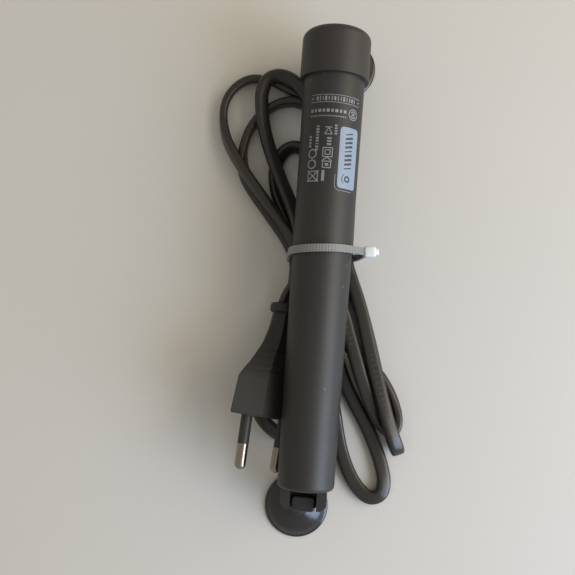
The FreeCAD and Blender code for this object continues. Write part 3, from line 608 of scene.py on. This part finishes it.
# ---- plug -------------------------------------------------------------------
PLUG_FACE = mm(-16.2, -51.3, 14.1)
PLUG_ACROSS, PLUG_DOWN, PLUG_ROLL = 4.6, 6.0, 48.0  # degrees
PLUG_TURN = (Matrix.Translation(PLUG_FACE)
             @ Matrix.Rotation(math.radians(-PLUG_ACROSS), 4, "Z")
             @ Matrix.Rotation(math.radians(-PLUG_DOWN), 4, "X")
             @ Matrix.Rotation(math.radians(PLUG_ROLL), 4, "Y"))
PLUG_SHAPE = [  # distance from the face, width, thickness, width of the flats
    (0.0, 33.9, 12.9, 17.4), (0.7, 34.8, 13.7, 18.0), (13.0, 32.8, 13.3, 16.6),
    (13.9, 32.0, 13.2, 16.3), (15.7, 29.2, 12.8, 15.4), (15.9, 28.9, 12.1, 15.3),
    (16.8, 27.5, 12.0, 14.7), (17.0, 27.2, 12.5, 14.6), (18.3, 25.0, 12.0, 13.6),
    (18.5, 24.8, 11.4, 13.5), (19.4, 23.6, 11.2, 12.8), (19.6, 23.4, 11.6, 12.6),
    (20.9, 21.5, 10.9, 11.4), (21.1, 21.2, 10.3, 11.3), (22.0, 20.2, 10.1, 10.5),
    (22.2, 20.0, 10.5, 10.4), (23.5, 18.4, 9.8, 9.2), (23.7, 18.1, 9.2, 9.1),
    (24.6, 17.0, 9.0, 8.3), (24.8, 16.8, 9.4, 8.2), (27.0, 14.3, 8.8, 6.8),
    (30.0, 11.6, 8.2, 5.4), (33.5, 9.5, 7.4, 4.2), (38.9, 7.9, 6.9, 3.3)]


def plug_body():
    """Flat two-pin plug with finger ribs on its taper and a round collar at the neck."""
    shape = bmesh.new()
    hoop = None
    for y, width, thick, flat in PLUG_SHAPE:
        half, h, f = width / 2 * MM, thick / 2 * MM, flat / 2 * MM
        spots = [(-half, 0), (-f, h), (f, h), (half, 0), (f, -h), (-f, -h)]
        if hoop is None:
            verts = [shape.verts.new((x, y * MM, z)) for x, z in spots]
            face = shape.faces.new(verts)
            hoop = list(face.edges)
            order = verts
            continue
        grown = bmesh.ops.extrude_edge_only(shape, edges=hoop)["geom"]
        fresh = [item for item in grown if isinstance(item, bmesh.types.BMVert)]
        hoop = [item for item in grown if isinstance(item, bmesh.types.BMEdge)
                and all(v in fresh for v in item.verts)]
        order = [min(fresh, key=lambda v, o=old: (v.co - o.co).length) for old in order]
        for vert, (x, z) in zip(order, spots):
            vert.co = (x, y * MM, z)
    bmesh.ops.contextual_create(shape, geom=hoop)
    profile = [(0.0, 38.4), (3.6, 38.4), (4.5, 38.7), (4.9, 39.4), (4.9, 41.0), (4.6, 41.7),
               (4.0, 42.0), (0.0, 42.0)]
    line = [shape.verts.new(mm(r, y, 0)) for r, y in profile]
    edges = [shape.edges.new(pair) for pair in zip(line, line[1:])]
    bmesh.ops.spin(shape, geom=line + edges, cent=(0, 0, 0), axis=(0, 1, 0),
                   angle=2 * math.pi, steps=48, use_merge=True)
    bmesh.ops.remove_doubles(shape, verts=shape.verts, dist=WELD_DISTANCE)
    bmesh.ops.transform(shape, matrix=PLUG_TURN, verts=shape.verts)
    piece = round_edges(make_piece("plug_moulding", shape, "plug_plastic", "heater"),
                        0.55 * MM, 3, 22.0)
    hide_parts("plug_body")
    return piece


plug = plug_body()

# ---- cable tie's head -------------------------------------------------------
TIE_TURN = 4.0


def tie_head():
    """Ratchet head with a raised mouth and the cut tail."""
    low, high = (Vector(corner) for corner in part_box("tie_head"))
    middle = (low + high) / 2
    shape = bmesh.new()
    body = bmesh.ops.create_cube(shape, size=1.0)["verts"]
    bmesh.ops.scale(shape, verts=body, vec=mm(4.2, 3.8, 3.8))
    sides = list(shape.edges)
    bmesh.ops.bevel(shape, geom=sides, affect="EDGES", offset=0.75 * MM, segments=3,
                    profile=0.5, material=-1)
    ends = [face for face in shape.faces if abs(face.normal.x) > 0.99]
    bmesh.ops.inset_individual(shape, faces=ends, thickness=0.45 * MM, depth=0.25 * MM)
    ends = [face for face in shape.faces if abs(face.normal.x) > 0.99
            and abs(face.calc_center_median().x) > 2.2 * MM]
    bmesh.ops.inset_individual(shape, faces=ends, thickness=0.5 * MM, depth=-0.9 * MM)
    tail = bmesh.ops.create_cube(shape, size=1.0)["verts"]
    bmesh.ops.scale(shape, verts=tail, vec=mm(2.6, 2.2, 0.9))
    bmesh.ops.translate(shape, verts=tail, vec=mm(1.9, 0, 0.2))
    turn = Matrix.Rotation(math.radians(TIE_TURN), 4, "Z")
    bmesh.ops.transform(shape, verts=shape.verts,
                        matrix=Matrix.Translation(middle - mm(0.4, 0, 0)) @ turn)
    piece = make_piece("tie_ratchet", shape, "ratchet_nylon", "heater")
    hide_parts("tie_head")
    return piece


head = tie_head()


# ---- printed marks and label ------------------------------------------------
def wrap_on_tube(shape, lift):
    """Bends flat work, drawn as arc length and Y, onto the front of the tube."""
    for vert in shape.verts:
        y = vert.co.y
        radius = tube_radius(y)
        angle = vert.co.x / radius
        reach = radius + lift + vert.co.z
        vert.co = Vector((reach * math.sin(angle), y, AXIS_Z + reach * math.cos(angle)))


def add_bar(shape, x, y, width, height, turn=0.0):
    grid = bmesh.ops.create_grid(shape, x_segments=max(2, int(width / 0.8)), y_segments=1,
                                 size=0.5)["verts"]
    place = (Matrix.Translation(mm(x, y, 0)) @ Matrix.Rotation(math.radians(turn), 4, "Z")
             @ Matrix.Diagonal((width * MM, height * MM, 1, 1)))
    bmesh.ops.transform(shape, matrix=place, verts=grid)


def add_ring(shape, x, y, outer, line, start=0.0, sweep=360.0):
    """Thin ring or part of one, from a spun radial edge."""
    first = shape.verts.new(mm(outer, 0, 0))
    second = shape.verts.new(mm(outer - line, 0, 0))
    edge = shape.edges.new((first, second))
    turn = Matrix.Rotation(math.radians(start), 4, "Z")
    bmesh.ops.transform(shape, matrix=turn, verts=[first, second])
    known = set(shape.verts) - {first, second}
    bmesh.ops.spin(shape, geom=[first, second, edge], cent=(0, 0, 0), axis=(0, 0, 1),
                   angle=math.radians(sweep), steps=max(6, int(sweep / 12)),
                   use_merge=sweep >= 360)
    fresh = [vert for vert in shape.verts if vert not in known]
    bmesh.ops.translate(shape, verts=fresh, vec=mm(x, y, 0))


def add_frame(shape, x, y, width, height, line, turn=0.0):
    """Outline of a rectangle, as four bars."""
    slant = math.radians(turn)
    for dx, dy, w, h in ((0, height / 2, width, line), (0, -height / 2, width, line),
                         (width / 2, 0, line, height), (-width / 2, 0, line, height)):
        px = x + dx * math.cos(slant) - dy * math.sin(slant)
        py = y + dx * math.sin(slant) + dy * math.cos(slant)
        add_bar(shape, px, py, w, h, turn)


def printed(name, shape, finish, lift=0.02):
    wrap_on_tube(shape, lift * MM)
    piece = make_piece(name, shape, finish, "heater", smooth=False)
    for polygon in piece.data.polygons:
        if polygon.normal.dot(polygon.center - Vector((0, polygon.center.y, AXIS_Z))) < 0:
            polygon.flip()
    return piece


def level_band():
    """Two thin lines with ticks between, showing how deep the tube stands in water."""
    shape = bmesh.new()
    for y in (60.2, 62.8):
        add_bar(shape, 1.6, y, 18.8, 0.2)
    for count in range(14):
        x = -5.4 + count * 1.06
        add_bar(shape, x, 61.5, 0.34 if count % 3 else 0.7, 1.6 if count % 2 else 1.3)
    for x in (-7.3, 10.5):
        add_bar(shape, x, 61.5, 0.8, 0.4)
    return printed("print_level_band", shape, "print_ink")


def small_rows():
    """Plain rows of dashes beside a round badge of rings."""
    shape = bmesh.new()
    for count in range(9):
        width = (1.0, 0.7, 1.1, 0.8)[count % 4]
        add_bar(shape, -7.2 + count * 1.5, 57.2, width, 1.1)
    for count in range(16):
        add_bar(shape, -7.5 + count * 0.84, 55.3, 0.5, 0.45)
    x, y = 8.3, 56.8
    add_ring(shape, x, y, 2.0, 0.3)
    for start in (20, 200):
        add_ring(shape, x, y, 1.3, 0.4, start, 140)
    add_ring(shape, x, y, 0.5, 0.4)
    return printed("print_rows", shape, "print_ink")


def side_column():
    """Columns of dashes, two full rings and a crossed frame along the tube."""
    shape = bmesh.new()
    for count in range(4):
        add_bar(shape, -7.1, 48.0 - count * 1.1, 1.0, 0.75)
    for count in range(9):
        add_bar(shape, -4.4, 51.6 - count * 1.02, 1.15, 0.7 if count % 3 else 0.4)
    for y in (42.0, 38.3):
        add_ring(shape, -5.9, y, 1.7, 0.45)
    add_frame(shape, -5.2, 34.1, 3.6, 3.4, 0.4)
    for turn in (42, -42):
        add_bar(shape, -5.2, 34.1, 5.8, 0.4, turn)
    return printed("print_side_column", shape, "print_ink")


def middle_column():
    """Column of a triangle, dashes, a double frame and a roofed frame."""
    shape = bmesh.new()
    add_bar(shape, -1.2, 50.0, 2.6, 0.32, 60)
    add_bar(shape, 0.1, 50.0, 2.6, 0.32, -60)
    add_bar(shape, -0.55, 48.9, 2.6, 0.32)
    add_bar(shape, -0.55, 51.3, 2.4, 0.32)
    for count in range(4):
        add_bar(shape, 2.0, 52.0 - count * 0.95, 0.9, 0.55)
    for count in range(3):
        add_bar(shape, -0.1, 47.4 - count * 1.05, 1.5, 0.62)
    add_frame(shape, -0.4, 42.5, 3.3, 3.2, 0.34)
    add_frame(shape, -0.4, 42.5, 1.7, 1.6, 0.34)
    add_frame(shape, -0.5, 38.2, 2.8, 2.2, 0.34)
    add_bar(shape, -1.35, 40.1, 2.3, 0.34, 36)
    add_bar(shape, 0.35, 40.1, 2.3, 0.34, -36)
    add_bar(shape, -0.5, 38.2, 1.2, 0.9)
    add_bar(shape, -1.5, 34.3, 1.0, 3.8)
    return printed("print_middle_column", shape, "print_ink")


LABEL_X, LABEL_Y = 7.5, 41.25
LABEL_WIDE, LABEL_TALL = 7.9, 21.5


def label_plate():
    """Rounded pale label, a little thicker than its edge."""
    shape = bmesh.new()
    plate = bmesh.ops.create_grid(shape, x_segments=16, y_segments=20, size=0.5)["verts"]
    bmesh.ops.scale(shape, verts=plate, vec=mm(LABEL_WIDE, LABEL_TALL, 1))
    corner = 1.3 * MM
    half_w, half_h = LABEL_WIDE / 2 * MM, LABEL_TALL / 2 * MM
    for vert in plate:
        dx = abs(vert.co.x) - (half_w - corner)
        dy = abs(vert.co.y) - (half_h - corner)
        if dx > 0 and dy > 0:
            pull = max(dx, dy) / math.hypot(dx, dy)
            vert.co.x = math.copysign(half_w - corner + dx * pull, vert.co.x)
            vert.co.y = math.copysign(half_h - corner + dy * pull, vert.co.y)
    skin_geom = bmesh.ops.extrude_face_region(shape, geom=shape.faces[:])["geom"]
    raised = [item for item in skin_geom if isinstance(item, bmesh.types.BMVert)]
    bmesh.ops.translate(shape, verts=raised, vec=mm(0, 0, 0.12))
    bmesh.ops.translate(shape, verts=shape.verts, vec=mm(LABEL_X, LABEL_Y, 0))
    wrap_on_tube(shape, 0.01 * MM)
    piece = make_piece("label_plate", shape, "label_face", "heater", smooth=False)
    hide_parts("preset_label")
    return piece


def label_marks():
    """Dark slanted bars and a small gauge, in place of lettering."""
    shape = bmesh.new()
    for count in range(9):
        add_bar(shape, LABEL_X - 0.2, LABEL_Y + 8.4 - count * 1.5, 3.2,
                0.75 if count % 4 else 0.4, 14)
    add_ring(shape, LABEL_X - 0.2, LABEL_Y - 7.4, 2.2, 0.28, 130, 100)
    add_ring(shape, LABEL_X - 0.2, LABEL_Y - 7.4, 1.2, 0.6)
    return printed("label_marks", shape, "label_ink", lift=0.15)


def label_border():
    """Fine pale outline round the label's lower left corner."""
    shape = bmesh.new()
    add_bar(shape, LABEL_X - 0.4, LABEL_Y - LABEL_TALL / 2 - 0.85, 5.6, 0.2)
    add_ring(shape, LABEL_X - 3.0, LABEL_Y - LABEL_TALL / 2 + 0.95, 1.9, 0.2, 180, 88)
    add_bar(shape, LABEL_X - 4.8, LABEL_Y - LABEL_TALL / 2 + 2.8, 0.2, 3.6)
    return printed("label_border", shape, "print_ink")


level_band()
small_rows()
side_column()
middle_column()
label_plate()
label_marks()
label_border()


# ---- camera -----------------------------------------------------------------
CAMERA_LENS = 47.58
CAMERA_PLACE = (4.6, -23.75, 290.3)
CAMERA_TURN = (4.38, 3.09, 4.23)  # tilt, swing and roll in degrees


def make_camera():
    data = bpy.data.cameras.new("camera")
    data.lens = CAMERA_LENS
    data.sensor_width = 36.0
    data.clip_start = 0.005
    camera = bpy.data.objects.new("camera", data)
    bpy.context.scene.collection.objects.link(camera)
    tilt, swing, roll = (math.radians(angle) for angle in CAMERA_TURN)
    turn = (Matrix.Rotation(roll, 4, "Z") @ Matrix.Rotation(swing, 4, "Y")
            @ Matrix.Rotation(tilt, 4, "X"))
    camera.matrix_world = Matrix.Translation(mm(*CAMERA_PLACE)) @ turn
    bpy.context.scene.camera = camera


# ---- floor and lights -------------------------------------------------------
WINDOW_COLOUR = (0.55, 0.70, 1.0)
CEILING_COLOUR = (1.0, 0.86, 0.60)
ROOM_COLOUR = (1.0, 0.955, 0.86, 1.0)
ROOM_STRENGTH = 0.42


def make_floor():
    shape = bmesh.new()
    bmesh.ops.create_grid(shape, x_segments=1, y_segments=1, size=1.5)
    FINISH["table"] = skin("table", (0.67, 0.652, 0.615), 0.55, tone=0.015, mottle=14.0,
                           grain=700.0, depth=0.00002)
    floor = make_piece("table_top", shape, "table", smooth=False)


def area_light(name, at, aim, size, power, colour):
    data = bpy.data.lights.new(name, "AREA")
    data.shape = "RECTANGLE"
    data.size, data.size_y = size
    data.energy = power
    data.color = colour
    light = bpy.data.objects.new(name, data)
    bpy.context.scene.collection.objects.link(light)
    light.location = at
    light.rotation_euler = (Vector(aim) - Vector(at)).to_track_quat("-Z", "Y").to_euler()


def make_lights():
    area_light("window", (0.62, -0.30, 0.34), (0.0, -0.02, 0.0), (0.5, 0.45), 5.0,
               WINDOW_COLOUR)
    area_light("ceiling", (0.85, 0.14, 0.62), (0.0, 0.0, 0.0), (1.0, 0.8), 6.6,
               CEILING_COLOUR)
    world = bpy.data.worlds.new("room")
    bpy.context.scene.world = world
    world.use_nodes = True
    backdrop = world.node_tree.nodes["Background"]
    backdrop.inputs["Color"].default_value = ROOM_COLOUR
    backdrop.inputs["Strength"].default_value = ROOM_STRENGTH
    bpy.context.scene.view_settings.view_transform = "Standard"


make_camera()
make_floor()
make_lights()
